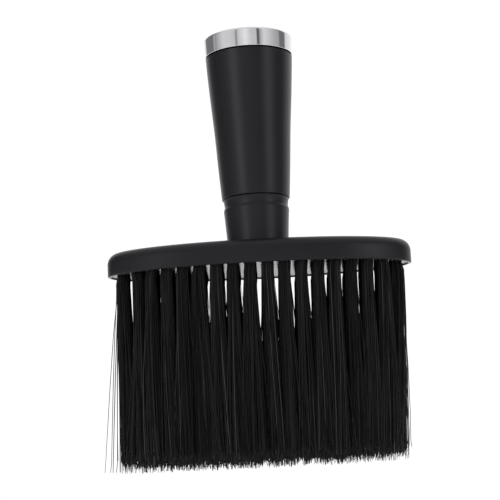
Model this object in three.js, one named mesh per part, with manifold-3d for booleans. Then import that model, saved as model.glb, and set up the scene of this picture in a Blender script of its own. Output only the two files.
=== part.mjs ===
// Neck duster brush: a wide oval brush head on a short tapered handle, for sweeping cut hair off
// a neck. Millimetres, +Z up. The brush stands on its bristle tips: z = 0 is the plane of the
// tips, the origin is under the middle of the head, +X runs along the head's long axis and +Z
// points to the end of the handle.
//
// Pieces, from the floor up: 18 columns of bristle tufts, the head block that holds them, a neck
// collar over the block's spigot, a hollow handle over the collar's spigot, one long screw with
// its washer that pulls handle, collar and block together, and a chromed ring held on the end of
// the handle by a pressed-in end cap.

import * as THREE from 'three';
import { mergeVertices } from 'three/addons/utils/BufferGeometryUtils.js';
import Module from 'manifold-3d';

const wasm = await Module();
wasm.setup();

// ---------------------------------------------------------------- driving dimensions

const GAP = 0.3; // clearance between pieces that touch

const BRISTLE_LENGTH = 73; // from the head's underside to the longest tips

const HEAD_HALF_LENGTH = 57;
const HEAD_HALF_DEPTH = 21.5;
const HEAD_THICKNESS = 9.2;
const HEAD_TOP_EDGE_RADIUS = 4.5;
const HEAD_LOWER_EDGE_CHAMFER = 0.6;
const HEAD_RIM_WIDTH = 1.2; // a low rim runs round the underside
const HEAD_RIM_HEIGHT = 0.35;
const HEAD_SEGMENTS = 64;

const COLUMNS = 18;
const OUTER_COLUMN_X = 50.9; // middle of the outermost columns
const COLUMN_CROWDING = 0.565; // radians: columns stand closer together towards the ends
const TUFT_FIELD_HALF_LENGTH = 51.4; // the oval that the middles of the tufts stand in
const TUFT_FIELD_HALF_DEPTH = 16.8;
const TUFT_PITCH = 6; // along a column, before it is evened out across the oval
const TUFT_PITCH_LEAST = 5.5;
const TUFT_PITCH_MOST = 6.6;
const TUFT_HOLE_RADIUS = 2.4;
const TUFT_HOLE_DEPTH = 6.5;
const TUFT_SIDES = 6;
const TUFT_OVERLAP = 0.35; // how far neighbours in a column run into each other at the tips

const SPIGOT_RADIUS = 8.5; // on top of the block, inside the collar
const SPIGOT_HEIGHT = 11.4;

const COLLAR_FOOT_RADIUS = 11.4;
const COLLAR_SHOULDER_RADIUS = 12.35;
const COLLAR_WAIST_RADIUS = 11.95; // the shallow groove under the handle
const COLLAR_LIP_RADIUS = 12.3;
const COLLAR_SHOULDER_HEIGHT = 14; // above the block
const COLLAR_WAIST_HEIGHT = 15.3;
const COLLAR_LIP_HEIGHT = 16.4; // where the waist starts to widen towards the lip
const COLLAR_HEIGHT = 17.8;
const COLLAR_SPIGOT_RADIUS = 9;
const COLLAR_SPIGOT_HEIGHT = 8.9;
const COLLAR_SPIGOT_BORE = 5.5;
const COLLAR_WEB = 4.7;

const HANDLE_LENGTH = 55.3;
const HANDLE_WALL = 2.2;
const HANDLE_WEB = 3;
const HANDLE_LOWER_EDGE = 0.4;
// outer radius of the handle at heights above its lower end: a slim taper that swells a little
const HANDLE_OUTLINE = [
  [0, 12.8],
  [12.6, 13.7],
  [26.6, 14.5],
  [40.6, 15.6],
  [50.6, 16.3],
  [HANDLE_LENGTH, 16.55],
];

const RING_HEIGHT = 7.2;
const RING_LOWER_RADIUS = 16.95;
const RING_UPPER_RADIUS = 17.4;
const RING_LOWER_EDGE_CHAMFER = 0.3;
const RING_UPPER_EDGE_RADIUS = 1.2;
const RING_RECESS_RADIUS = 15.4; // the end cap's flange sits in it
const RING_RECESS_DEPTH = 2.4;

const CAP_FLANGE_THICKNESS = 1.8;
const CAP_SKIRT_WALL = 1.6;
const CAP_SKIRT_DEPTH = 8; // below the ring, inside the handle

const SCREW_RADIUS = 2;
const SCREW_LENGTH = 30; // under the head
const SCREW_HEAD_RADIUS = 4;
const SCREW_HEAD_HEIGHT = 2.8;
const SCREW_TIP = 2;
const SCREW_CLEARANCE = 0.4;
const SCREW_SOCKET_RADIUS = 1.5;
const SCREW_SOCKET_DEPTH = 1.6;

const WASHER_RADIUS = 5;
const WASHER_THICKNESS = 1;

const ROUND_SEGMENTS = 40;
const SMALL_SEGMENTS = 20;
const HOLE_SEGMENTS = 8;

// ---------------------------------------------------------------- heights that follow from them

const undersideZ = BRISTLE_LENGTH;
const tuftFaceZ = undersideZ + HEAD_RIM_HEIGHT;
const headTopZ = undersideZ + HEAD_THICKNESS;
const spigotTopZ = headTopZ + SPIGOT_HEIGHT;
const collarFootZ = headTopZ + GAP;
const collarTopZ = headTopZ + COLLAR_HEIGHT;
const collarSpigotTopZ = collarTopZ + COLLAR_SPIGOT_HEIGHT;
const handleFootZ = collarTopZ + GAP;
const handleTopZ = handleFootZ + HANDLE_LENGTH;
const handleWebZ = collarSpigotTopZ + GAP;
const handleFloorZ = handleWebZ + HANDLE_WEB;
const ringFootZ = handleTopZ + GAP;
const ringTopZ = ringFootZ + RING_HEIGHT;
const handleBoreRadius = HANDLE_OUTLINE.at(-1)[1] - HANDLE_WALL;
const screwHoleRadius = SCREW_RADIUS + SCREW_CLEARANCE;
const washerZ = handleFloorZ + GAP;
const screwSeatZ = washerZ + WASHER_THICKNESS + GAP;
const screwTipZ = screwSeatZ - SCREW_LENGTH;

// ---------------------------------------------------------------- materials

const blackPlastic = new THREE.MeshStandardMaterial({ color: 0x26262a, roughness: 0.5, metalness: 0 });
const blackBristle = new THREE.MeshStandardMaterial({ color: 0x121214, roughness: 0.45, metalness: 0 });
const polishedChrome = new THREE.MeshStandardMaterial({ color: 0xdcdce0, roughness: 0.08, metalness: 1 });
const zincSteel = new THREE.MeshStandardMaterial({ color: 0xa8aaad, roughness: 0.35, metalness: 1 });

// ---------------------------------------------------------------- geometry helpers

// A solid of revolution about Z. The profile is a list of [radius, z], anticlockwise when the
// radius is drawn to the right and z upwards. It starts and ends on the axis, or is closed here.
function turned(profile, segments = ROUND_SEGMENTS) {
  const points = profile.map(([radius, z]) => new THREE.Vector2(radius, z));
  if (profile[0][0] > 0) {
    points.push(points[0].clone());
  }
  const geometry = new THREE.LatheGeometry(points, segments);
  geometry.rotateX(Math.PI / 2);
  return geometry;
}

// Points on a circle between two angles, for the rounded edges of a profile.
function arc(centreRadius, centreZ, radius, fromAngle, toAngle, steps) {
  return Array.from({ length: steps + 1 }, (_, i) => {
    const angle = fromAngle + ((toAngle - fromAngle) * i) / steps;
    return [centreRadius + radius * Math.cos(angle), centreZ + radius * Math.sin(angle)];
  });
}

function toSolid(geometry) {
  const bare = geometry.clone();
  bare.deleteAttribute('normal');
  bare.deleteAttribute('uv');
  const merged = mergeVertices(bare, 1e-4);
  const corners = Array.from(merged.index.array);
  const kept = [];
  for (let i = 0; i < corners.length; i += 3) {
    const [a, b, c] = corners.slice(i, i + 3);
    if (a !== b && b !== c && c !== a) {
      kept.push(a, b, c);
    }
  }
  return new wasm.Manifold(
    new wasm.Mesh({
      numProp: 3,
      vertProperties: new Float32Array(merged.attributes.position.array),
      triVerts: new Uint32Array(kept),
    }),
  );
}

function toGeometry(solid) {
  const mesh = solid.getMesh();
  const geometry = new THREE.BufferGeometry();
  geometry.setAttribute('position', new THREE.BufferAttribute(new Float32Array(mesh.vertProperties), 3));
  geometry.setIndex(new THREE.BufferAttribute(new Uint32Array(mesh.triVerts), 1));
  geometry.computeVertexNormals();
  return geometry;
}

function piece(name, geometry, material) {
  const mesh = new THREE.Mesh(geometry, material);
  mesh.name = name;
  return mesh;
}

// ---------------------------------------------------------------- where the tufts stand

function columnX(column) {
  const along = (2 * column) / (COLUMNS - 1) - 1;
  return (OUTER_COLUMN_X * Math.sin(COLUMN_CROWDING * along)) / Math.sin(COLUMN_CROWDING);
}

// Places along one column: evenly spaced across the oval, as far as holes of this size allow.
function tuftRows(column) {
  const reach = columnX(column) / TUFT_FIELD_HALF_LENGTH;
  const chord = 2 * TUFT_FIELD_HALF_DEPTH * Math.sqrt(1 - reach * reach);
  const spaces = Math.round(chord / TUFT_PITCH);
  const pitch = THREE.MathUtils.clamp(chord / spaces, TUFT_PITCH_LEAST, TUFT_PITCH_MOST);
  return Array.from({ length: spaces + 1 }, (_, i) => (i - spaces / 2) * pitch);
}

// ---------------------------------------------------------------- pieces

// The oval block: a turned disc whose rim is moved onto an ellipse, so that its rounded edge
// keeps its radius all the way round. It carries a spigot for the collar and the tuft holes.
function headBlock() {
  const edge = HEAD_TOP_EDGE_RADIUS;
  const chamfer = HEAD_LOWER_EDGE_CHAMFER;
  const disc = turned(
    [
      [0, tuftFaceZ],
      [HEAD_HALF_LENGTH - HEAD_RIM_WIDTH, tuftFaceZ],
      [HEAD_HALF_LENGTH - HEAD_RIM_WIDTH, undersideZ],
      [HEAD_HALF_LENGTH - chamfer, undersideZ],
      [HEAD_HALF_LENGTH, undersideZ + chamfer],
      ...arc(HEAD_HALF_LENGTH - edge, headTopZ - edge, edge, 0, Math.PI / 2, 5),
      [0, headTopZ],
    ],
    HEAD_SEGMENTS,
  );
  const position = disc.attributes.position;
  for (let i = 0; i < position.count; i++) {
    const radius = Math.hypot(position.getX(i), position.getY(i));
    if (radius > 1) {
      const depth = radius - (HEAD_HALF_LENGTH - HEAD_HALF_DEPTH);
      position.setY(i, (position.getY(i) * depth) / radius);
    }
  }

  const spigotSink = 1;
  const spigot = turned([
    [0, headTopZ - spigotSink],
    [SPIGOT_RADIUS, headTopZ - spigotSink],
    [SPIGOT_RADIUS, spigotTopZ],
    [0, spigotTopZ],
  ]);
  const pilot = turned(
    [
      [0, screwTipZ - GAP],
      [SCREW_RADIUS + GAP, screwTipZ - GAP],
      [SCREW_RADIUS + GAP, spigotTopZ + 1],
      [0, spigotTopZ + 1],
    ],
    SMALL_SEGMENTS,
  );
  let block = toSolid(disc).add(toSolid(spigot)).subtract(toSolid(pilot));

  const hole = toSolid(
    turned(
      [
        [0, undersideZ - 1],
        [TUFT_HOLE_RADIUS, undersideZ - 1],
        [TUFT_HOLE_RADIUS, undersideZ + TUFT_HOLE_DEPTH],
        [0, undersideZ + TUFT_HOLE_DEPTH],
      ],
      HOLE_SEGMENTS,
    ),
  );
  for (let column = 0; column < COLUMNS; column++) {
    for (const y of tuftRows(column)) {
      block = block.subtract(hole.translate([columnX(column), y, 0]));
    }
  }
  return piece('head_block', toGeometry(block), blackPlastic);
}

// One column of tufts. Each tuft is six-sided, straight in its hole, and spreads towards its
// tips until it runs into its neighbours in front and behind, so the column is one solid.
function tuftColumn(column) {
  const x = columnX(column);
  const rows = tuftRows(column);
  const rootRadius = TUFT_HOLE_RADIUS - GAP;
  const neighbours = [column - 1, column + 1].filter((i) => i >= 0 && i < COLUMNS);
  const columnPitch = Math.min(...neighbours.map((i) => Math.abs(columnX(i) - x)));
  const rowPitch = rows[1] - rows[0];
  const flatReach = rootRadius * Math.cos(Math.PI / TUFT_SIDES);
  const spreadX = (columnPitch - GAP) / 2 / rootRadius;
  const spreadY = (rowPitch / 2 + TUFT_OVERLAP) / flatReach;

  const tuft = turned(
    [
      [0, 0],
      [rootRadius, 0],
      [rootRadius, undersideZ],
      [rootRadius, undersideZ + TUFT_HOLE_DEPTH - GAP],
      [0, undersideZ + TUFT_HOLE_DEPTH - GAP],
    ],
    TUFT_SIDES,
  );
  tuft.rotateZ(Math.PI / TUFT_SIDES); // corners towards the next columns, flats front and back
  const position = tuft.attributes.position;
  for (let i = 0; i < position.count; i++) {
    if (position.getZ(i) < undersideZ / 2) {
      position.setX(i, position.getX(i) * spreadX);
      position.setY(i, position.getY(i) * spreadY);
    }
  }
  const solid = toSolid(tuft);
  const [first, ...others] = rows.map((y) => solid.translate([x, y, 0]));
  const joined = others.reduce((whole, next) => whole.add(next), first);
  const number = String(column + 1).padStart(2, '0');
  return piece(`tuft_column_${number}`, toGeometry(joined), blackBristle);
}

// Collar: tapers towards the head, with a waisted groove under the handle's edge. Its bore takes
// the block's spigot from below, and its own spigot goes up into the handle.
function neckCollar() {
  const shoulderZ = headTopZ + COLLAR_SHOULDER_HEIGHT;
  const shoulderRound = 0.6;
  const blend = 0.1; // how far the corners of shoulder and waist are eased
  const boreRadius = SPIGOT_RADIUS + GAP;
  const boreTopZ = spigotTopZ + GAP;
  const cupFloorZ = boreTopZ + COLLAR_WEB;
  const profile = [
    [boreRadius, collarFootZ],
    [COLLAR_FOOT_RADIUS, collarFootZ],
    [COLLAR_SHOULDER_RADIUS, shoulderZ - shoulderRound],
    [COLLAR_SHOULDER_RADIUS - blend, shoulderZ],
    [COLLAR_WAIST_RADIUS + blend, shoulderZ + shoulderRound],
    [COLLAR_WAIST_RADIUS, headTopZ + COLLAR_WAIST_HEIGHT],
    [COLLAR_WAIST_RADIUS + 2 * blend, headTopZ + COLLAR_LIP_HEIGHT],
    [COLLAR_LIP_RADIUS, collarTopZ],
    [COLLAR_SPIGOT_RADIUS, collarTopZ],
    [COLLAR_SPIGOT_RADIUS, collarSpigotTopZ],
    [COLLAR_SPIGOT_BORE, collarSpigotTopZ],
    [COLLAR_SPIGOT_BORE, cupFloorZ],
    [screwHoleRadius, cupFloorZ],
    [screwHoleRadius, boreTopZ],
    [boreRadius, boreTopZ],
  ];
  return piece('neck_collar', turned(profile), blackPlastic);
}

// Handle: a hollow tapered moulding, with a web near its lower end that the screw pulls on.
function handleShell() {
  const outline = new THREE.SplineCurve(HANDLE_OUTLINE.map(([h, r]) => new THREE.Vector2(r, handleFootZ + h)));
  const outside = outline.getPoints(14).map((point) => [point.x, point.y]);
  const [footRadius] = outside.shift();
  const edge = HANDLE_LOWER_EDGE;
  const socketRadius = COLLAR_SPIGOT_RADIUS + GAP;
  const floorRadius = HANDLE_OUTLINE[1][1] - HANDLE_WALL;
  const spareDepth = 2; // bore left free below the cap's skirt
  const capSeatZ = handleTopZ - CAP_SKIRT_DEPTH - spareDepth;
  const profile = [
    [socketRadius, handleFootZ],
    [footRadius - edge, handleFootZ],
    [footRadius, handleFootZ + edge],
    ...outside,
    [handleBoreRadius, handleTopZ],
    [handleBoreRadius, capSeatZ],
    [floorRadius, handleFloorZ],
    [screwHoleRadius, handleFloorZ],
    [screwHoleRadius, handleWebZ],
    [socketRadius, handleWebZ],
  ];
  return piece('handle_shell', turned(profile), blackPlastic);
}

// Chromed ring on the handle's end, a little wider than the handle, with a rounded upper edge.
function chromeRing() {
  const edge = RING_UPPER_EDGE_RADIUS;
  const lowerEdge = RING_LOWER_EDGE_CHAMFER;
  const recessZ = ringTopZ - RING_RECESS_DEPTH;
  const profile = [
    [handleBoreRadius, ringFootZ],
    [RING_LOWER_RADIUS - lowerEdge, ringFootZ],
    [RING_LOWER_RADIUS, ringFootZ + lowerEdge],
    ...arc(RING_UPPER_RADIUS - edge, ringTopZ - edge, edge, 0, Math.PI / 2, 4),
    [RING_RECESS_RADIUS, ringTopZ],
    [RING_RECESS_RADIUS, recessZ],
    [handleBoreRadius, recessZ],
  ];
  return piece('chrome_ring', turned(profile), polishedChrome);
}

// End cap: its flange lies in the ring's recess, and its skirt is pressed into the handle.
function endCap() {
  const flangeZ = ringTopZ - RING_RECESS_DEPTH + GAP;
  const flangeTopZ = flangeZ + CAP_FLANGE_THICKNESS;
  const flangeRadius = RING_RECESS_RADIUS - GAP;
  const skirtRadius = handleBoreRadius - GAP;
  const skirtBore = skirtRadius - CAP_SKIRT_WALL;
  const skirtFootZ = handleTopZ - CAP_SKIRT_DEPTH;
  const edge = 0.4;
  const profile = [
    [0, flangeZ],
    [skirtBore, flangeZ],
    [skirtBore, skirtFootZ],
    [skirtRadius, skirtFootZ],
    [skirtRadius, flangeZ],
    [flangeRadius, flangeZ],
    [flangeRadius, flangeTopZ - edge],
    [flangeRadius - edge, flangeTopZ],
    [0, flangeTopZ],
  ];
  return piece('end_cap', turned(profile), blackPlastic);
}

function fixingScrew() {
  const headTop = screwSeatZ + SCREW_HEAD_HEIGHT;
  const edge = 0.8;
  const profile = [
    [0, screwTipZ],
    [SCREW_RADIUS / 2, screwTipZ],
    [SCREW_RADIUS, screwTipZ + SCREW_TIP],
    [SCREW_RADIUS, screwSeatZ],
    [SCREW_HEAD_RADIUS, screwSeatZ],
    [SCREW_HEAD_RADIUS, headTop - edge],
    [SCREW_HEAD_RADIUS - edge, headTop],
    [0, headTop],
  ];
  const socket = new THREE.CylinderGeometry(SCREW_SOCKET_RADIUS, SCREW_SOCKET_RADIUS, 2 * SCREW_SOCKET_DEPTH, 6);
  socket.rotateX(Math.PI / 2);
  socket.translate(0, 0, headTop);
  const screw = toSolid(turned(profile, SMALL_SEGMENTS)).subtract(toSolid(socket));
  return piece('fixing_screw', toGeometry(screw), zincSteel);
}

function washer() {
  const profile = [
    [screwHoleRadius, washerZ],
    [WASHER_RADIUS, washerZ],
    [WASHER_RADIUS, washerZ + WASHER_THICKNESS],
    [screwHoleRadius, washerZ + WASHER_THICKNESS],
  ];
  return piece('washer', turned(profile, SMALL_SEGMENTS), zincSteel);
}

// ---------------------------------------------------------------- the brush

const brush = new THREE.Group();
for (let column = 0; column < COLUMNS; column++) {
  brush.add(tuftColumn(column));
}
brush.add(headBlock());
brush.add(neckCollar());
brush.add(handleShell());
brush.add(fixingScrew());
brush.add(washer());
brush.add(chromeRing());
brush.add(endCap());

export default brush;
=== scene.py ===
import math

import bpy
import numpy as np
from mathutils import Matrix, Vector


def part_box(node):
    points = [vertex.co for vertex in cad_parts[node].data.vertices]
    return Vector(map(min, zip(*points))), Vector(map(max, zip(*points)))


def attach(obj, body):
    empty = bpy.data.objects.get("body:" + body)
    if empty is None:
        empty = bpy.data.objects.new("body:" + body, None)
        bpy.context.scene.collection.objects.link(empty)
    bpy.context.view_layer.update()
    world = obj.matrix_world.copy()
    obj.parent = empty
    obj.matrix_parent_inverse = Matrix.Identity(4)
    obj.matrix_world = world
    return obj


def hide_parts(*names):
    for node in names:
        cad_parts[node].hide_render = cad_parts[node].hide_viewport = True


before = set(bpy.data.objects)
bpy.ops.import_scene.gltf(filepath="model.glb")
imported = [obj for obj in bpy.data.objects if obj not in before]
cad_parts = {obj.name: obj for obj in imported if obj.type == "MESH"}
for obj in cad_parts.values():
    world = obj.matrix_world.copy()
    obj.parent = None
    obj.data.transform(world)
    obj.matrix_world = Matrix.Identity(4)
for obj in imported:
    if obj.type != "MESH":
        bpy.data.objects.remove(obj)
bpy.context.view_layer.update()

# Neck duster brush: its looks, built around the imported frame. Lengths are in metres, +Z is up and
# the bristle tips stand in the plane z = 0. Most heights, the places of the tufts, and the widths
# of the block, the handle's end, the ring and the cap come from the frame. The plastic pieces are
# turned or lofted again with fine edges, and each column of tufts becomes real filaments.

MM = 0.001
SEED = 20

# ---------------------------------------------------------------- driving sizes

TURN_SEGMENTS = 128
OVAL_SEGMENTS = 224
SHARP_ANGLE = math.radians(32)
ON_AXIS = 1e-7  # a profile point nearer to the axis than this is drawn as a single point

GAP = 0.3 * MM  # clearance between pieces that touch

HEAD_TOP_EDGE = 4.5 * MM
HEAD_LOWER_EDGE = 0.6 * MM
HEAD_RIM_WIDTH = 1.2 * MM
HEAD_RIM_HEIGHT = 0.35 * MM
HEAD_SPIGOT_RADIUS = 8.5 * MM
HEAD_THICKNESS = 9.2 * MM
PILOT_RADIUS = 2.3 * MM
PILOT_DEPTH = 11 * MM
TUFT_HOLE_RADIUS = 2.25 * MM
TUFT_HOLE_DEPTH = 6.5 * MM
TUFT_HOLE_SIDES = 20
SCREW_HOLE_RADIUS = 2.4 * MM

COLLAR_FOOT_RADIUS = 11.4 * MM
COLLAR_EDGE = 0.15 * MM  # at its foot and at its lip
COLLAR_TAPER_END = 12.22 * MM  # radius where the straight taper ends
COLLAR_TAPER_TOP = 1.6 * MM  # how far below the shoulder it ends
COLLAR_SHOULDER_HEIGHT = 14 * MM  # above the block
# soft shoulder and waist of the collar as (radius, height from the shoulder) in millimetres
COLLAR_WAIST_OUTLINE = [
    (12.31, -0.75), (12.32, -0.2), (12.18, 0.3), (12.01, 0.75),
    (11.95, 1.3), (12.01, 2.1), (12.16, 3.0),
]
COLLAR_LIP_RADIUS = 12.35 * MM
COLLAR_LIP_GAP = 0.12 * MM  # the fine seam under the handle
COLLAR_SPIGOT_RADIUS = 9 * MM
COLLAR_CUP_RADIUS = 5.5 * MM
COLLAR_WEB = 4.7 * MM

# the handle's outside as (radius, height above its foot) in millimetres
HANDLE_OUTLINE = [
    (12.8, 0), (12.93, 1.5), (13.7, 12.6), (14.55, 26.6), (15.65, 40.6), (16.33, 50.6),
]
HANDLE_WALL = 2.2 * MM
HANDLE_WEB = 3 * MM
HANDLE_FOOT_EDGE = 0.25 * MM
HANDLE_TOP_EDGE = 0.2 * MM
HANDLE_FLOOR_RADIUS = 11.4 * MM
HANDLE_BORE_DEPTH = 10 * MM

RING_FLARE = 0.45 * MM
RING_TOP_EDGE = 1.2 * MM
RING_FOOT_EDGE = 0.12 * MM
RING_RECESS_EDGE = 0.1 * MM

CAP_FLANGE_THICKNESS = 1.8 * MM
CAP_SKIRT_WALL = 1.6 * MM
CAP_SKIRT_EDGE = 0.3 * MM
CAP_EDGE = 0.4 * MM
CAP_RIM_WIDTH = 1.6 * MM
CAP_RIM_STEP = 0.6 * MM  # the rim comes down to the dish in two such steps
CAP_DISH = 0.35 * MM  # depth of the dish
CAP_DISH_MIDDLE = 6 * MM  # inside this radius the dish is nearly level
CAP_PIP_FOOT = 1.6 * MM  # radii of the moulding pip in the middle
CAP_PIP_SHOULDER = 1.4 * MM
CAP_PIP_TOP = 1.1 * MM

ANCHOR_HALF = Vector((1.9, 0.55, 0.2)) * MM
ANCHOR_RISE = 0.6 * MM  # above the inner ends of the filaments
ANCHOR_EDGE = 0.08 * MM

FILAMENTS_PER_TUFT = 210
FILAMENT_RADIUS = 0.125 * MM
FILAMENT_TIP_SHARE = 0.7  # radius at the tip, as a share of the radius at the root
FILAMENT_SIDES = 4
TUFT_ROOT_RADIUS = 2.17 * MM
TUFT_ROOT_DEPTH = 5 * MM  # how far up its hole a filament starts
TUFT_SIDES_IN_CAD = 6
SHADES = 64  # columns of the bristle map, one shade each

# ---------------------------------------------------------------- the frame's own heights and radii


def node_radius(node):
    """Outer radius of a round CAD node that stands on the Z axis."""
    low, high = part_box(node)
    return (high.x - low.x) / 2


head_low, head_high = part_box("head_block")
collar_low, collar_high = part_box("neck_collar")
handle_low, handle_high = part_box("handle_shell")
ring_low, ring_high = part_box("chrome_ring")
cap_low, cap_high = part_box("end_cap")

UNDERSIDE = head_low.z
HEAD_TOP = UNDERSIDE + HEAD_THICKNESS
HEAD_A = head_high.x
HEAD_B = head_high.y

# ---------------------------------------------------------------- mesh helpers


def new_object(name, verts, faces, material, smooth=True):
    mesh = bpy.data.meshes.new(name)
    mesh.from_pydata([tuple(v) for v in verts], [], faces)
    mesh.validate()
    piece = bpy.data.objects.new(name, mesh)
    bpy.context.scene.collection.objects.link(piece)
    mesh.materials.append(material)
    if smooth:
        shade_smooth(mesh)
    return piece


def shade_smooth(mesh):
    """Smooth faces, with hard edges kept where two faces meet at more than SHARP_ANGLE."""
    mesh.polygons.foreach_set("use_smooth", [True] * len(mesh.polygons))
    mesh.set_sharp_from_angle(angle=SHARP_ANGLE)


def arc(centre_r, centre_z, radius, start, end, steps=8):
    """Points (radius, height) on a circle, from one angle in degrees to another."""
    angles = np.radians(np.linspace(start, end, steps + 1))
    return [(centre_r + radius * math.cos(a), centre_z + radius * math.sin(a)) for a in angles]


def spline(points, steps=6):
    """A smooth curve through the points (Catmull-Rom), with steps pieces between neighbours."""
    p = np.array([points[0], *points, points[-1]], float)
    out = []
    for i in range(1, len(p) - 2):
        for t in np.arange(steps) / steps:
            a = 2 * p[i]
            b = (p[i + 1] - p[i - 1]) * t
            c = (2 * p[i - 1] - 5 * p[i] + 4 * p[i + 1] - p[i + 2]) * t**2
            d = (3 * p[i] - p[i - 1] - 3 * p[i + 1] + p[i + 2]) * t**3
            out.append(tuple((a + b + c + d) / 2))
    return [*out, tuple(p[-2])]


def turned(name, profile, material):
    """A solid of revolution about Z. The profile runs anticlockwise, radius to the right and
    height upwards. It starts and ends on the axis, or is closed here."""
    angles = np.linspace(0, 2 * math.pi, TURN_SEGMENTS, endpoint=False)
    verts, rings = [], []
    for radius, height in profile:
        if radius < ON_AXIS:
            rings.append([len(verts)] * TURN_SEGMENTS)
            verts.append((0, 0, height))
        else:
            rings.append(list(range(len(verts), len(verts) + TURN_SEGMENTS)))
            verts += [(radius * math.cos(a), radius * math.sin(a), height) for a in angles]
    if profile[0][0] > ON_AXIS:
        rings.append(rings[0])
    return new_object(name, verts, loft_faces(rings), material)


def loft_faces(rings):
    """Faces between neighbouring rings of vertex numbers; a ring may be one repeated vertex."""
    faces = []
    for lower, upper in zip(rings[:-1], rings[1:]):
        count = len(lower)
        for i in range(count):
            j = (i + 1) % count
            corners = [lower[i], lower[j], upper[j], upper[i]]
            face = [c for k, c in enumerate(corners) if c != corners[k - 1]]
            if len(face) > 2:
                faces.append(face)
    return faces


def carve(piece, cutter):
    """Cuts the cutter's closed bodies out of the piece and removes the cutter."""
    modifier = piece.modifiers.new("holes", "BOOLEAN")
    modifier.operation = "DIFFERENCE"
    modifier.solver = "EXACT"
    modifier.object = cutter
    bpy.context.view_layer.update()
    graph = bpy.context.evaluated_depsgraph_get()
    carved = bpy.data.meshes.new_from_object(piece.evaluated_get(graph))
    piece.modifiers.clear()
    piece.data = carved
    bpy.data.objects.remove(cutter)
    shade_smooth(carved)


# ---------------------------------------------------------------- materials

PLASTIC_SPECULAR = 0.23
NYLON_SPECULAR = 0.22
# grey of a strand by its column of the map, drawn at random: most are nearly black, and the few much
# paler ones are painted highlights standing in for the glints of single strands
STRAND_GREYS_AND_PAINTED_HIGHLIGHTS = [(0.0, 0.001), (0.4, 0.008), (0.7, 0.022), (0.85, 0.05), (1.0, 0.14)]
# factor on that grey along the strand, from root to tip: painted shade darkens the end near the
# block, and the tip end is paler and warmer with wear
STRAND_ROOT_SHADE_AND_TIP_WEAR = [(0.0, (0.7, 0.7, 0.7)), (0.6, (1, 1, 1)), (1.0, (1.4, 1.28, 1.28))]


class Nodes:
    """Short names for the shader nodes that the materials below are made of."""

    def __init__(self, name):
        self.material = bpy.data.materials.new(name)
        self.material.use_nodes = True
        self.tree = self.material.node_tree
        self.shader = self.tree.nodes["Principled BSDF"]

    def add(self, kind, **inputs):
        node = self.tree.nodes.new(kind)
        for key, value in inputs.items():
            node.inputs[key.replace("_", " ")].default_value = value
        return node

    def link(self, source, target):
        self.tree.links.new(source, target)

    def place(self):
        return self.add("ShaderNodeTexCoord").outputs["Object"]

    def noise(self, vector, scale, detail=3.0, roughness=0.5):
        node = self.add("ShaderNodeTexNoise", Scale=scale, Detail=detail, Roughness=roughness)
        self.link(vector, node.inputs["Vector"])
        return node.outputs["Fac"]

    def ramp(self, value, stops):
        """Turns a value into a colour. The stops are (position, grey or colour)."""
        node = self.add("ShaderNodeValToRGB")
        elements = node.color_ramp.elements
        while len(elements) < len(stops):
            elements.new(1.0)
        for element, (position, colour) in zip(elements, stops):
            element.position = position
            rgb = colour if isinstance(colour, tuple) else (colour, colour, colour)
            element.color = (*rgb, 1)
        self.link(value, node.inputs["Fac"])
        return node.outputs["Color"]

    def between(self, value, low, high):
        node = self.add("ShaderNodeMapRange")
        node.inputs["To Min"].default_value = low
        node.inputs["To Max"].default_value = high
        self.link(value, node.inputs["Value"])
        return node.outputs["Result"]

    def bump(self, height, strength, distance):
        node = self.add("ShaderNodeBump", Strength=strength, Distance=distance)
        self.link(height, node.inputs["Height"])
        self.link(node.outputs["Normal"], self.shader.inputs["Normal"])


def moulded_plastic(name, tone, rough, grain_scale, grain_height):
    """Matte black plastic from a spark-eroded mould: a fine even grain and faint handling marks."""
    nodes = Nodes(name)
    nodes.shader.inputs["Specular IOR Level"].default_value = PLASTIC_SPECULAR
    place = nodes.place()
    smudge = nodes.noise(place, 70, detail=4)
    darker, paler = (tuple(share * c for c in tone) for share in (0.88, 1.12))
    tint = nodes.ramp(smudge, [(0.3, darker), (0.7, paler)])
    nodes.link(tint, nodes.shader.inputs["Base Color"])
    nodes.link(nodes.between(smudge, rough - 0.05, rough + 0.05), nodes.shader.inputs["Roughness"])
    nodes.bump(nodes.noise(place, grain_scale, detail=2), 0.5, grain_height)
    return nodes.material


def polished_chrome():
    """Bright plating: nearly a mirror, with the faint waviness of plated plastic."""
    nodes = Nodes("polished_chrome")
    nodes.shader.inputs["Metallic"].default_value = 1.0
    place = nodes.place()
    film = nodes.noise(place, 160, detail=5)
    nodes.link(nodes.ramp(film, [(0.3, (0.68, 0.68, 0.70)), (0.7, (0.73, 0.73, 0.75))]),
               nodes.shader.inputs["Base Color"])
    nodes.link(nodes.between(film, 0.03, 0.09), nodes.shader.inputs["Roughness"])
    nodes.bump(nodes.noise(place, 110, detail=1), 0.25, 0.02 * MM)
    return nodes.material


def zinc_plate(name):
    """Dull bright zinc on small steel parts, with a mottled finish."""
    nodes = Nodes(name)
    nodes.shader.inputs["Metallic"].default_value = 1.0
    place = nodes.place()
    mottle = nodes.noise(place, 900, detail=4)
    nodes.link(nodes.ramp(mottle, [(0.3, (0.42, 0.43, 0.46)), (0.7, (0.60, 0.61, 0.63))]),
               nodes.shader.inputs["Base Color"])
    nodes.link(nodes.between(mottle, 0.28, 0.45), nodes.shader.inputs["Roughness"])
    return nodes.material


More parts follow.
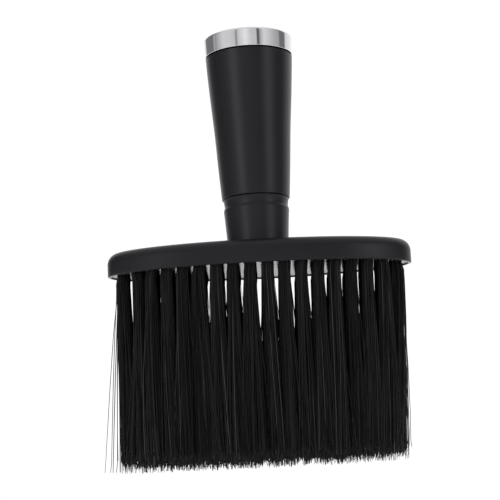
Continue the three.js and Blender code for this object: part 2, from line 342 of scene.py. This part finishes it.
def nylon_bristle():
    """Black nylon filament. Each strand lies in the column of the map that has its shade; the palest
    shades are painted highlights. Up the map it goes from a root darkened with painted shade to a
    slightly paler, worn tip."""
    nodes = Nodes("nylon_bristle")
    uv = nodes.add("ShaderNodeUVMap")
    uv.uv_map = "OFBake"
    split = nodes.add("ShaderNodeSeparateXYZ")
    nodes.link(uv.outputs["UV"], split.inputs[0])
    nodes.shader.inputs["Specular IOR Level"].default_value = NYLON_SPECULAR
    # each strand's own grey, with painted highlights at the pale end of the ramp
    shade = nodes.ramp(split.outputs["X"], STRAND_GREYS_AND_PAINTED_HIGHLIGHTS)
    # painted shade darkens the root end of each strand; the paler, warmer tip is wear
    root_shade_and_tip_wear = nodes.ramp(split.outputs["Y"], STRAND_ROOT_SHADE_AND_TIP_WEAR)
    product = nodes.add("ShaderNodeMix")
    product.data_type = "RGBA"
    product.blend_type = "MULTIPLY"
    product.inputs[0].default_value = 1.0
    nodes.link(shade, product.inputs[6])
    nodes.link(root_shade_and_tip_wear, product.inputs[7])
    nodes.link(product.outputs[2], nodes.shader.inputs["Base Color"])
    nodes.link(nodes.between(split.outputs["X"], 0.42, 0.30), nodes.shader.inputs["Roughness"])
    return nodes.material


SATIN_BLACK = moulded_plastic("satin_black", (0.0053, 0.0045, 0.0072), 0.36, 5200, 0.012 * MM)
TEXTURED_BLACK = moulded_plastic("textured_black", (0.035, 0.035, 0.035), 0.12, 1000, 0.16 * MM)
CHROME = polished_chrome()
ZINC = zinc_plate("zinc_plate")
BRISTLE = nylon_bristle()

# ---------------------------------------------------------------- plastic, chrome and metal pieces


def oval_ring(inset, height):
    """Points of the head's oval, moved inwards by the inset along its normals."""
    angles = np.linspace(0, 2 * math.pi, OVAL_SEGMENTS, endpoint=False)
    x, y = HEAD_A * np.cos(angles), HEAD_B * np.sin(angles)
    normal = np.stack([x / HEAD_A**2, y / HEAD_B**2], axis=1)
    normal /= np.linalg.norm(normal, axis=1)[:, None]
    heights = np.full(OVAL_SEGMENTS, height)
    return np.column_stack([x - inset * normal[:, 0], y - inset * normal[:, 1], heights])


def round_ring(radius, height):
    angles = np.linspace(0, 2 * math.pi, OVAL_SEGMENTS, endpoint=False)
    heights = np.full(OVAL_SEGMENTS, height)
    return np.column_stack([radius * np.cos(angles), radius * np.sin(angles), heights])


def tuft_centres(node):
    """Middles of a CAD column's tufts, from the corners of its six-sided root ends."""
    corners = np.array([v.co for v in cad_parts[node].data.vertices])
    top = np.unique(corners[corners[:, 2] > corners[:, 2].max() - 1e-5].round(6), axis=0)
    middle = (top[:, 0].min() + top[:, 0].max()) / 2
    radius = (top[:, 0].max() - top[:, 0].min()) / 2
    reach = top[:, 1].max() - radius * math.cos(math.pi / TUFT_SIDES_IN_CAD)
    return [(middle, y) for y in np.linspace(-reach, reach, len(top) // TUFT_SIDES_IN_CAD)]


def head_block(columns):
    """The oval block, with a rounded upper edge, a spigot under the collar and a hole per tuft."""
    lower, upper = HEAD_LOWER_EDGE, HEAD_TOP_EDGE
    rings = [
        oval_ring(HEAD_RIM_WIDTH, UNDERSIDE + HEAD_RIM_HEIGHT),
        oval_ring(HEAD_RIM_WIDTH, UNDERSIDE),
    ]
    rings += [oval_ring(lower - r, z) for r, z in arc(0, UNDERSIDE + lower, lower, -90, 0, 5)]
    rings += [oval_ring(upper - r, z) for r, z in arc(0, HEAD_TOP - upper, upper, 0, 90, 12)]
    rings += [round_ring(r, z) for r, z in (
        (HEAD_SPIGOT_RADIUS, HEAD_TOP),
        (HEAD_SPIGOT_RADIUS, head_high.z),
        (PILOT_RADIUS, head_high.z),
        (PILOT_RADIUS, head_high.z - PILOT_DEPTH),
    )]
    verts = np.vstack(rings)
    numbers = [list(range(i * OVAL_SEGMENTS, (i + 1) * OVAL_SEGMENTS)) for i in range(len(rings))]
    faces = loft_faces(numbers)
    faces.append(numbers[0][::-1])
    faces.append(numbers[-1])
    block = new_object("head_block_moulding", verts, faces, SATIN_BLACK)
    block.data.materials.append(TEXTURED_BLACK)
    carve(block, hole_cutter([centre for column in columns for centre in column]))
    # the underside is textured, and the inner ends of the tuft holes are not
    for face in block.data.polygons:
        if face.normal.z < -0.9 and face.center.z < UNDERSIDE + TUFT_HOLE_DEPTH / 2:
            face.material_index = 1
    return block


def hole_cutter(centres):
    """One closed prism per tuft hole, all in one mesh, starting just below the underside."""
    sides = TUFT_HOLE_SIDES
    angles = [2 * math.pi * k / sides for k in range(sides)]
    outline = [(TUFT_HOLE_RADIUS * math.cos(a), TUFT_HOLE_RADIUS * math.sin(a)) for a in angles]
    verts, faces = [], []
    for x, y in centres:
        start = len(verts)
        for z in (UNDERSIDE - MM, UNDERSIDE + TUFT_HOLE_DEPTH):
            verts += [(x + dx, y + dy, z) for dx, dy in outline]
        low = list(range(start, start + sides))
        high = list(range(start + sides, start + 2 * sides))
        faces += loft_faces([low, high])
        faces += [low[::-1], high]
    return new_object("hole_cutter", verts, faces, SATIN_BLACK, smooth=False)


def neck_collar():
    """Tapers to the head, with a soft shoulder and a shallow waist under the handle's edge."""
    foot, top = collar_low.z, handle_low.z - COLLAR_LIP_GAP
    shoulder = HEAD_TOP + COLLAR_SHOULDER_HEIGHT
    outside = [
        (COLLAR_FOOT_RADIUS - COLLAR_EDGE, foot),
        (COLLAR_FOOT_RADIUS, foot + COLLAR_EDGE),
        (COLLAR_TAPER_END, shoulder - COLLAR_TAPER_TOP),
    ]
    waist = [(radius * MM, shoulder + height * MM) for radius, height in COLLAR_WAIST_OUTLINE]
    outside += spline([*waist, (COLLAR_LIP_RADIUS, top - COLLAR_EDGE)])
    bore = HEAD_SPIGOT_RADIUS + GAP
    bore_top = head_high.z + GAP
    cup_floor = bore_top + COLLAR_WEB
    inside = [
        (COLLAR_LIP_RADIUS - COLLAR_EDGE, top),
        (COLLAR_SPIGOT_RADIUS, top),
        (COLLAR_SPIGOT_RADIUS, collar_high.z),
        (COLLAR_CUP_RADIUS, collar_high.z),
        (COLLAR_CUP_RADIUS, cup_floor),
        (SCREW_HOLE_RADIUS, cup_floor),
        (SCREW_HOLE_RADIUS, bore_top),
        (bore, bore_top),
        (bore, foot),
    ]
    return turned("neck_collar_moulding", outside + inside, SATIN_BLACK)


def handle_shell():
    """Hollow handle moulding: a fine edge below, and an open top for the ring and cap."""
    foot, top = handle_low.z, handle_high.z
    edge = HANDLE_FOOT_EDGE
    outline = [(radius * MM, foot + height * MM) for radius, height in HANDLE_OUTLINE]
    foot_radius = outline[0][0]
    top_radius = node_radius("handle_shell")
    outside = arc(foot_radius - edge, foot + edge, edge, -90, 0, 6)
    outside += spline([*outline[1:], (top_radius, top - HANDLE_TOP_EDGE)])
    bore = top_radius - HANDLE_WALL
    socket = COLLAR_SPIGOT_RADIUS + GAP
    web = collar_high.z + GAP
    floor_height = web + HANDLE_WEB
    inside = [
        (top_radius - HANDLE_TOP_EDGE, top),
        (bore, top),
        (bore, top - HANDLE_BORE_DEPTH),
        (HANDLE_FLOOR_RADIUS, floor_height),
        (SCREW_HOLE_RADIUS, floor_height),
        (SCREW_HOLE_RADIUS, web),
        (socket, web),
        (socket, foot),
    ]
    return turned("handle_moulding", outside + inside, SATIN_BLACK)


def chrome_ring():
    """Plated ring: straight wall that flares a touch, crisp lower edge and a soft upper edge."""
    foot, top = ring_low.z, ring_high.z
    outer = node_radius("chrome_ring")
    soft, crisp = RING_TOP_EDGE, RING_FOOT_EDGE
    bore = node_radius("handle_shell") - HANDLE_WALL
    recess = node_radius("end_cap") + GAP
    recess_floor = cap_high.z - CAP_FLANGE_THICKNESS - GAP
    profile = [(bore, foot)]
    profile += arc(outer - RING_FLARE - crisp, foot + crisp, crisp, -90, 0, 4)
    profile += arc(outer - soft, top - soft, soft, 0, 90, 12)
    profile += [
        (recess + RING_RECESS_EDGE, top),
        (recess, top - RING_RECESS_EDGE),
        (recess, recess_floor),
        (bore, recess_floor),
    ]
    return turned("chromed_ring", profile, CHROME)


def end_cap():
    """Press-in cap: a shallow dish with a raised rim and a small moulding pip in the middle."""
    top = cap_high.z
    flange = top - CAP_FLANGE_THICKNESS
    outer = node_radius("end_cap")
    skirt = node_radius("handle_shell") - HANDLE_WALL - GAP
    rim = outer - CAP_RIM_WIDTH
    profile = [
        (0, flange),
        (skirt - CAP_SKIRT_WALL, flange),
        (skirt - CAP_SKIRT_WALL, cap_low.z),
        (skirt - CAP_SKIRT_EDGE, cap_low.z),
        (skirt, cap_low.z + CAP_SKIRT_EDGE),
        (skirt, flange),
        (outer, flange),
    ]
    profile += arc(outer - CAP_EDGE, top - CAP_EDGE, CAP_EDGE, 0, 90, 6)
    profile += spline([
        (rim, top),
        (rim - CAP_RIM_STEP, top - 0.1 * MM),
        (rim - 2 * CAP_RIM_STEP, top - CAP_DISH),
        (CAP_DISH_MIDDLE, top - 1.2 * CAP_DISH),
        (CAP_PIP_FOOT, top - 1.25 * CAP_DISH),
    ], 5)
    profile += [
        (CAP_PIP_SHOULDER, top - 0.9 * CAP_DISH),
        (CAP_PIP_TOP, top - 0.8 * CAP_DISH),
        (0, top - 0.8 * CAP_DISH),
    ]
    return turned("end_cap_moulding", profile, SATIN_BLACK)


def tuft_anchors(columns):
    """One flat wire anchor across the top of each tuft hole, as a single piece."""
    half = ANCHOR_HALF
    corners = [(i, j, k) for i in (-1, 1) for j in (-1, 1) for k in (-1, 1)]
    box_faces = [(0, 1, 3, 2), (4, 6, 7, 5), (0, 4, 5, 1), (2, 3, 7, 6), (0, 2, 6, 4), (1, 5, 7, 3)]
    height = UNDERSIDE + TUFT_ROOT_DEPTH + ANCHOR_RISE
    verts, faces = [], []
    for x, y in [centre for column in columns for centre in column]:
        faces += [[len(verts) + c for c in face] for face in box_faces]
        verts += [(x + i * half.x, y + j * half.y, height + k * half.z) for i, j, k in corners]
    anchors = new_object("tuft_anchors", verts, faces, ZINC, smooth=False)
    bevel = anchors.modifiers.new("soft_edges", "BEVEL")
    bevel.width = ANCHOR_EDGE
    bevel.segments = 2
    return anchors


# ---------------------------------------------------------------- bristles

LEAN = 4.6 * MM  # the tips at the +X end have taken a set towards -X; the other end stands straight
LEAN_POWER = 5  # how strongly the set gathers at that end
LEAN_EARLY = 0.6  # share of the set that grows evenly along a strand; the rest grows as its square
LOCKS_PER_TUFT = 8  # filaments cling together in locks
LOCK_CLOSING = 0.35  # how much narrower a lock is at its tips than at its root
LOCK_SLOPE = 0.017  # sideways travel per unit of length, one standard deviation
STRAND_SLOPE = 0.013
STRAND_BOW = 0.5 * MM
TUFT_SPREAD = 0.24  # how much wider a tuft is at its tips than at its root
SHORTEST = UNDERSIDE - 5.0 * MM  # the trimmed ends are ragged: many short, ever fewer long
LENGTH_SPREAD = 0.6 * MM
LENGTH_TAIL = 1.05 * MM
LONG_SHARE = 0.0006  # single filaments that the trimming missed
LONG_SPREAD = 1.8 * MM
LOOSE_SHARE = 0.12  # filaments that lie across the others
LOOSE_SLOPE = 0.032
CURLED_SHARE = 0.4
CURL_REACH = 0.55 * MM
CURL_START = 0.95  # share of the free length where the curled end begins
FIELD_HALF_LENGTH = 54.7 * MM  # outline of the whole field of tufts at the tips
FIELD_HALF_DEPTH = 19.6 * MM
FIELD_HOLD = 0.4  # how much of a strand's way past that outline is kept
# where a strand's joints lie, as shares of its free length
STATIONS = np.array([0.0, 0.04, 0.12, 0.3, 0.55, 0.8, 0.955, 1.0])
THICKNESS_SPREAD = 0.08  # one standard deviation, as a share of a filament's radius
SHADE_SKEW = (1.6, 2.4)  # of the beta distribution that shades are drawn from
ROOT_OF_MAP = 0.03  # share of the map's height for the part of a strand inside its hole

# sideways set of whole columns just below the block, where tufts were knocked out of line
COLUMN_SET = {
    1: -0.55 * MM,
    2: 0.55 * MM,
    6: -0.75 * MM,
    7: -0.15 * MM,
    10: -0.3 * MM,
    16: -0.25 * MM,
    17: 0.3 * MM,
    18: 0.6 * MM,
}
USUAL_SET = -0.45 * MM
COLUMN_SET_DEPTH = 1.2 * MM
COLUMN_WIDENING = {1: 0.1, 18: 0.2}  # the end columns splay, having a neighbour on one side only
SET_CLOSING = {1: 0.3 * MM, 2: -0.7 * MM}  # the wide first gap closes again further down
SET_CLOSING_DEPTH = 12 * MM

# stray hairs at the two ends of the head: outward reach at the tip, and where along they leave
STRAYS = {
    1: [(6.3, 0.12), (5.3, 0.16), (4.4, 0.10), (2.7, 0.2), (2.3, 0.25), (1.4, 0.1)],
    18: [(1.3, 0.3), (0.5, 0.2)],
}
STRAY_LENGTH = 72.3 * MM
STRAY_THICKNESS = 1.4  # against the radius of the others
STRAY_CURVE = 0.8  # below 1, a stray hair leaves quickly and then straightens


def in_disc(rng, radius, *shape):
    """Random points spread evenly over a disc."""
    around = rng.uniform(0, 2 * math.pi, shape)
    out = radius * np.sqrt(rng.uniform(0, 1, shape))
    return np.stack([out * np.cos(around), out * np.sin(around)], axis=-1)


def strand_lengths(count, rng):
    """Free lengths of so many strands."""
    length = SHORTEST + rng.normal(0, LENGTH_SPREAD, count) + rng.exponential(LENGTH_TAIL, count)
    return np.minimum(length, UNDERSIDE - 0.1 * MM)


def leave_some_long(length, number):
    """Lengths with a few filaments left long, drawn apart from the column's other numbers."""
    rng = np.random.default_rng([SEED, number])
    missed = rng.uniform(0, 1, len(length)) < LONG_SHARE
    return np.where(missed, STRAY_LENGTH - rng.uniform(0, LONG_SPREAD, len(length)), length)


def strand_paths(number, centres, rng):
    """Centre lines of all strands of one column: an array of strand, station, xyz."""
    tufts = len(centres)
    tuft = np.repeat(np.arange(tufts), FILAMENTS_PER_TUFT)
    count = len(tuft)
    middle = np.array(centres)[tuft]
    offset = in_disc(rng, TUFT_ROOT_RADIUS, count)
    length = leave_some_long(strand_lengths(count, rng), number)

    lock_middles = in_disc(rng, TUFT_ROOT_RADIUS, tufts, LOCKS_PER_TUFT)
    apart = np.linalg.norm(lock_middles[tuft] - offset[:, None], axis=2)
    lock = np.argmin(apart, axis=1)
    lock_middle = lock_middles[tuft, lock]
    lock_slope = rng.normal(0, LOCK_SLOPE, (tufts, LOCKS_PER_TUFT, 2))
    loose = rng.uniform(0, 1, (count, 1)) < LOOSE_SHARE
    own_slope = rng.normal(0, np.where(loose, LOOSE_SLOPE, STRAND_SLOPE), (count, 2))
    slope = lock_slope[tuft, lock] + own_slope
    bow = rng.normal(0, STRAND_BOW, (count, 2))
    curl = rng.normal(0, CURL_REACH, (count, 2)) * (rng.uniform(0, 1, (count, 1)) < CURLED_SHARE)
    along = (middle[:, 0] + HEAD_A) / (2 * HEAD_A)
    moved = COLUMN_SET.get(number, USUAL_SET) + COLUMN_WIDENING.get(number, 0) * offset[:, 0]

    path = [np.column_stack([middle + offset, np.full(count, UNDERSIDE + TUFT_ROOT_DEPTH)])]
    for share in STATIONS:
        side = lock_middle * (1 + TUFT_SPREAD * share)
        side += (offset - lock_middle) * (1 - LOCK_CLOSING * share)
        side += slope * (share * length)[:, None]
        side += bow * (share * share - share)
        side += curl * max(0.0, share - CURL_START) / (1 - CURL_START)
        place = hold_together(middle + side, share)
        leant = LEAN_EARLY * share + (1 - LEAN_EARLY) * share**2
        place[:, 0] -= LEAN * along**LEAN_POWER * leant
        down = share * length
        place[:, 0] += moved * (1 - np.exp(-down / COLUMN_SET_DEPTH))
        place[:, 0] += SET_CLOSING.get(number, 0) * (1 - np.exp(-down / SET_CLOSING_DEPTH))
        path.append(np.column_stack([place, UNDERSIDE - down]))
    return np.stack(path, axis=1)


def hold_together(place, share):
    """Pulls strands that stray past the field's oval part of the way back to it."""
    reach = np.hypot(place[:, 0] / FIELD_HALF_LENGTH, place[:, 1] / FIELD_HALF_DEPTH)
    held = 1 + (reach - 1) * (1 - share * (1 - FIELD_HOLD))
    factor = np.where(reach > 1, held / np.maximum(reach, 1e-6), 1.0)
    return place * factor[:, None]


def outward_of(number):
    """Which way along X is outward for an end column."""
    return -1 if number == 1 else 1


def stray_strands(paths, number):
    """Numbers of the outermost strands of an end column, which stray."""
    return np.argsort(-outward_of(number) * paths[:, 1, 0])[:len(STRAYS.get(number, []))]


def add_strays(paths, number):
    """Bends the outermost strands of an end column outwards, as single stray hairs."""
    outward = outward_of(number)
    for (reach, leaves), strand in zip(STRAYS.get(number, []), stray_strands(paths, number)):
        free = np.clip((STATIONS - leaves) / (1 - leaves), 0, 1)
        paths[strand, 1:, 0] += outward * reach * MM * free**STRAY_CURVE
        paths[strand, 1:, 2] = UNDERSIDE - STATIONS * STRAY_LENGTH
    return paths


def bristle_column(number, centres, rng):
    """Filaments of one column as one mesh: square rods that taper, each with its own shade."""
    paths = add_strays(strand_paths(number, centres, rng), number)
    strands, stations = paths.shape[:2]
    sides = FILAMENT_SIDES

    taper = np.concatenate([[1.0], 1 - (1 - FILAMENT_TIP_SHARE) * STATIONS**3])
    radius = FILAMENT_RADIUS * rng.normal(1, THICKNESS_SPREAD, strands)[:, None] * taper[None, :]
    radius[stray_strands(paths, number)] *= STRAY_THICKNESS
    twist = rng.uniform(0, math.pi / 2, strands)[:, None] + 2 * math.pi * np.arange(sides) / sides
    ring = np.stack([np.cos(twist), np.sin(twist), np.zeros_like(twist)], axis=2)
    verts = paths[:, :, None, :] + radius[:, :, None, None] * ring[:, None, :, :]

    first = np.arange(strands)[:, None, None] * stations * sides
    along = np.arange(stations - 1)[None, :, None] * sides
    k = np.arange(sides)[None, None, :]
    nxt = (k + 1) % sides
    walls = np.stack([first + along + sides + k, first + along + sides + nxt,
                      first + along + nxt, first + along + k], axis=-1).reshape(-1, 4)
    root_caps = (first[:, 0] + np.arange(sides)[None, :]).reshape(-1, 4)
    tip_caps = (first[:, 0] + (stations - 1) * sides + np.arange(sides)[None, ::-1]).reshape(-1, 4)
    faces = np.vstack([walls, root_caps, tip_caps])

    name = f"bristles_{number:02d}"
    mesh = bpy.data.meshes.new(name)
    mesh.vertices.add(verts.size // 3)
    mesh.vertices.foreach_set("co", verts.astype(np.float32).ravel())
    mesh.loops.add(faces.size)
    mesh.loops.foreach_set("vertex_index", faces.astype(np.int32).ravel())
    mesh.polygons.add(len(faces))
    mesh.polygons.foreach_set("loop_start", np.arange(0, faces.size, 4, dtype=np.int32))
    mesh.update(calc_edges=True)
    mesh.polygons.foreach_set("use_smooth", [True] * len(faces))

    # the draw picks the strand's column of the map and so its grey; the palest draws carry a painted
    # highlight
    shade = rng.beta(*SHADE_SKEW, strands)
    column_of_map = (np.floor(shade * SHADES) + 0.5) / SHADES
    strand_of_vertex = np.repeat(np.arange(strands), stations * sides)
    up_the_map = np.concatenate([[0.0], ROOT_OF_MAP + (1 - ROOT_OF_MAP) * STATIONS])
    v_of_vertex = np.tile(np.repeat(up_the_map, sides), strands)
    corner = faces.ravel()
    edge = (corner % sides) / (sides - 1) - 0.5
    u = column_of_map[strand_of_vertex[corner]] + 0.5 * edge / SHADES
    uv = np.column_stack([u, v_of_vertex[corner]])
    layer = mesh.uv_layers.new(name="OFBake")
    layer.data.foreach_set("uv", uv.astype(np.float32).ravel())

    mesh.materials.append(BRISTLE)
    piece = bpy.data.objects.new(name, mesh)
    bpy.context.scene.collection.objects.link(piece)
    return piece


# ---------------------------------------------------------------- putting the brush together


def stand_for(piece, node):
    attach(piece, "root")
    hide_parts(node)


column_nodes = sorted(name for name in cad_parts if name.startswith("tuft_column_"))
columns = [tuft_centres(name) for name in column_nodes]

head = head_block(columns)
stand_for(head, "head_block")
collar = neck_collar()
stand_for(collar, "neck_collar")
handle = handle_shell()
stand_for(handle, "handle_shell")
stand_for(chrome_ring(), "chrome_ring")
stand_for(end_cap(), "end_cap")

shared_rng = np.random.default_rng(SEED)
for number, (node, centres) in enumerate(zip(column_nodes, columns), start=1):
    stand_for(bristle_column(number, centres, shared_rng), node)

anchors = tuft_anchors(columns)
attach(anchors, "root")

for node in ("fixing_screw", "washer"):
    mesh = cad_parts[node].data
    mesh.materials.clear()
    mesh.materials.append(ZINC)

# ---------------------------------------------------------------- stage, light and camera

FLOOR_RADIUS = 2.5
FLOOR_GLOW = 0.36

# light that falls on the brush: grey level by angle in degrees, from the camera's side (0) round
# to the back (180), positive towards +X
TENT = [
    (-180, 1.1), (-142, 0.95), (-134, 0.2), (-100, 0.19), (-95, 0.5), (-91, 0.3), (-84, 0.45),
    (-65, 0.72), (-47, 0.7), (-33, 0.62), (-30, 0.3), (-28, 0.3), (-25, 0.62), (-6, 0.9),
    (8, 0.64), (22, 0.6), (24, 0.1), (27, 0.1), (33, 0.5), (42, 0.76), (55, 0.64),
    (77, 0.44), (85, 0.4), (88, 0.18), (106, 0.18), (110, 0.75), (130, 0.92), (150, 1.1), (180, 1.1),
]
CEILING = (0.8, 0.8, 0.82)
CEILING_FROM, CEILING_TO = 0.6, 0.85  # sine of the height where it starts and where it is full
TENT_STRENGTH = 1.15
BACKDROP_STRENGTH = 1.05
SOFTBOX_SIZE = (0.34, 0.55)
SOFTBOX_DISTANCE = 1.0
SOFTBOX_AIM = 0.12  # height that the softboxes are aimed at


def floor():
    """A large pale sheet, seen from above only, so a camera just below its level looks past it."""
    angles = np.linspace(0, 2 * math.pi, 96, endpoint=False)
    verts = [(FLOOR_RADIUS * math.cos(a), FLOOR_RADIUS * math.sin(a), 0) for a in angles]
    nodes = Nodes("pale_floor")
    nodes.shader.inputs["Base Color"].default_value = (0.9, 0.9, 0.9, 1)
    nodes.shader.inputs["Roughness"].default_value = 0.8
    nodes.shader.inputs["Specular IOR Level"].default_value = 0.1
    nodes.shader.inputs["Emission Color"].default_value = (1, 1, 1, 1)
    nodes.shader.inputs["Emission Strength"].default_value = FLOOR_GLOW
    clear = nodes.add("ShaderNodeBsdfTransparent")
    side = nodes.add("ShaderNodeNewGeometry")
    mix = nodes.add("ShaderNodeMixShader")
    output = nodes.tree.nodes["Material Output"]
    nodes.link(side.outputs["Backfacing"], mix.inputs[0])
    nodes.link(nodes.shader.outputs["BSDF"], mix.inputs[1])
    nodes.link(clear.outputs[0], mix.inputs[2])
    nodes.link(mix.outputs[0], output.inputs["Surface"])
    sheet = new_object("floor", verts, [list(range(len(verts)))], nodes.material, smooth=False)


def studio():
    """A light tent: bright behind the brush, with grey cards elsewhere and dark seams between
    them. Wherever the camera sees past the brush, it sees plain white."""
    world = bpy.data.worlds.new("light_tent")
    bpy.context.scene.world = world
    world.use_nodes = True
    tree = world.node_tree
    tree.nodes.clear()

    def add(kind):
        return tree.nodes.new(kind)

    def maths(operation, a, b=None):
        node = add("ShaderNodeMath")
        node.operation = operation
        for socket, value in zip(node.inputs, (a, b)):
            if value is None:
                continue
            if isinstance(value, (int, float)):
                socket.default_value = value
            else:
                tree.links.new(value, socket)
        return node.outputs[0]

    direction = add("ShaderNodeTexCoord").outputs["Generated"]
    split = add("ShaderNodeSeparateXYZ")
    tree.links.new(direction, split.inputs[0])
    x, y, z = split.outputs
    toward = maths("MULTIPLY", y, -1.0)
    turn = maths("ADD", maths("DIVIDE", maths("ARCTAN2", x, toward), 2 * math.pi), 0.5)
    ramp = add("ShaderNodeValToRGB")
    elements = ramp.color_ramp.elements
    while len(elements) < len(TENT):
        elements.new(1.0)
    for element, (degrees, grey) in zip(elements, TENT):
        element.position = degrees / 360 + 0.5
        element.color = (grey, grey, grey, 1)
    tree.links.new(turn, ramp.inputs["Fac"])

    ceiling = add("ShaderNodeMapRange")
    ceiling.interpolation_type = "SMOOTHSTEP"
    ceiling.inputs["From Min"].default_value = CEILING_FROM
    ceiling.inputs["From Max"].default_value = CEILING_TO
    tree.links.new(z, ceiling.inputs["Value"])
    lit = add("ShaderNodeMix")
    lit.data_type = "RGBA"
    lit.inputs[7].default_value = (*CEILING, 1)
    tree.links.new(ceiling.outputs["Result"], lit.inputs[0])
    tree.links.new(ramp.outputs["Color"], lit.inputs[6])

    tent = add("ShaderNodeBackground")
    tent.inputs["Strength"].default_value = TENT_STRENGTH
    tree.links.new(lit.outputs[2], tent.inputs["Color"])
    white = add("ShaderNodeBackground")
    white.inputs["Color"].default_value = (1, 1, 1, 1)
    white.inputs["Strength"].default_value = BACKDROP_STRENGTH
    seen = add("ShaderNodeLightPath")
    mix = add("ShaderNodeMixShader")
    tree.links.new(seen.outputs["Is Camera Ray"], mix.inputs[0])
    tree.links.new(tent.outputs[0], mix.inputs[1])
    tree.links.new(white.outputs[0], mix.inputs[2])
    tree.links.new(mix.outputs[0], add("ShaderNodeOutputWorld").inputs["Surface"])


def softbox(name, turn, rise, power, receivers):
    """An area light aimed at the brush, from so many degrees round and up from the camera's side.
    It lights the receivers only, to give them their soft bands."""
    data = bpy.data.lights.new(name, "AREA")
    data.shape = "RECTANGLE"
    data.size, data.size_y = SOFTBOX_SIZE
    data.energy = power
    light = bpy.data.objects.new(name, data)
    around = Matrix.Rotation(math.radians(turn), 4, "Z")
    tipped = Matrix.Rotation(math.radians(90 - rise), 4, "X")
    away = Matrix.Translation((0, 0, SOFTBOX_DISTANCE))
    light.matrix_world = Matrix.Translation((0, 0, SOFTBOX_AIM)) @ around @ tipped @ away
    light.visible_camera = False
    light.light_linking.receiver_collection = receivers
    bpy.context.scene.collection.objects.link(light)


# the photograph's view: turned, tipped and rolled about a point just above the head's underside
VIEW_YAW = math.radians(0.6)
VIEW_PITCH = math.radians(9.8)
VIEW_ROLL = math.radians(2.85)
VIEW_DISTANCE = 583 * MM
VIEW_TARGET = Vector((-3.2 * MM, 0, UNDERSIDE + 8.1 * MM))
VIEW_LENS = 111.6  # on a 36 mm sensor


def camera():
    data = bpy.data.cameras.new("camera")
    data.sensor_width = 36
    data.lens = VIEW_LENS
    data.clip_start, data.clip_end = 0.01, 20
    turn = (Matrix.Rotation(VIEW_YAW, 4, "Z") @ Matrix.Rotation(VIEW_PITCH, 4, "X")
            @ Matrix.Rotation(VIEW_ROLL, 4, "Y"))
    forward = turn.to_3x3() @ Vector((0, 1, 0))
    eye = bpy.data.objects.new("camera", data)
    eye.matrix_world = (Matrix.Translation(VIEW_TARGET - forward * VIEW_DISTANCE) @ turn
                        @ Matrix.Rotation(math.pi / 2, 4, "X"))
    bpy.context.scene.collection.objects.link(eye)
    bpy.context.scene.camera = eye


floor()
studio()
banded = bpy.data.collections.new("banded_pieces")
for piece in (handle, collar):
    banded.objects.link(piece)
softbox("left_softbox", -41, 10, 1.6, banded)
softbox("right_softbox", 51, 10, 1.2, banded)
block_only = bpy.data.collections.new("block_only")
block_only.objects.link(head)
softbox("left_fill", -41, 10, 0.65, block_only)
softbox("right_fill", 51, 10, 1.1, block_only)
camera()
bpy.context.scene.view_settings.view_transform = "Standard"
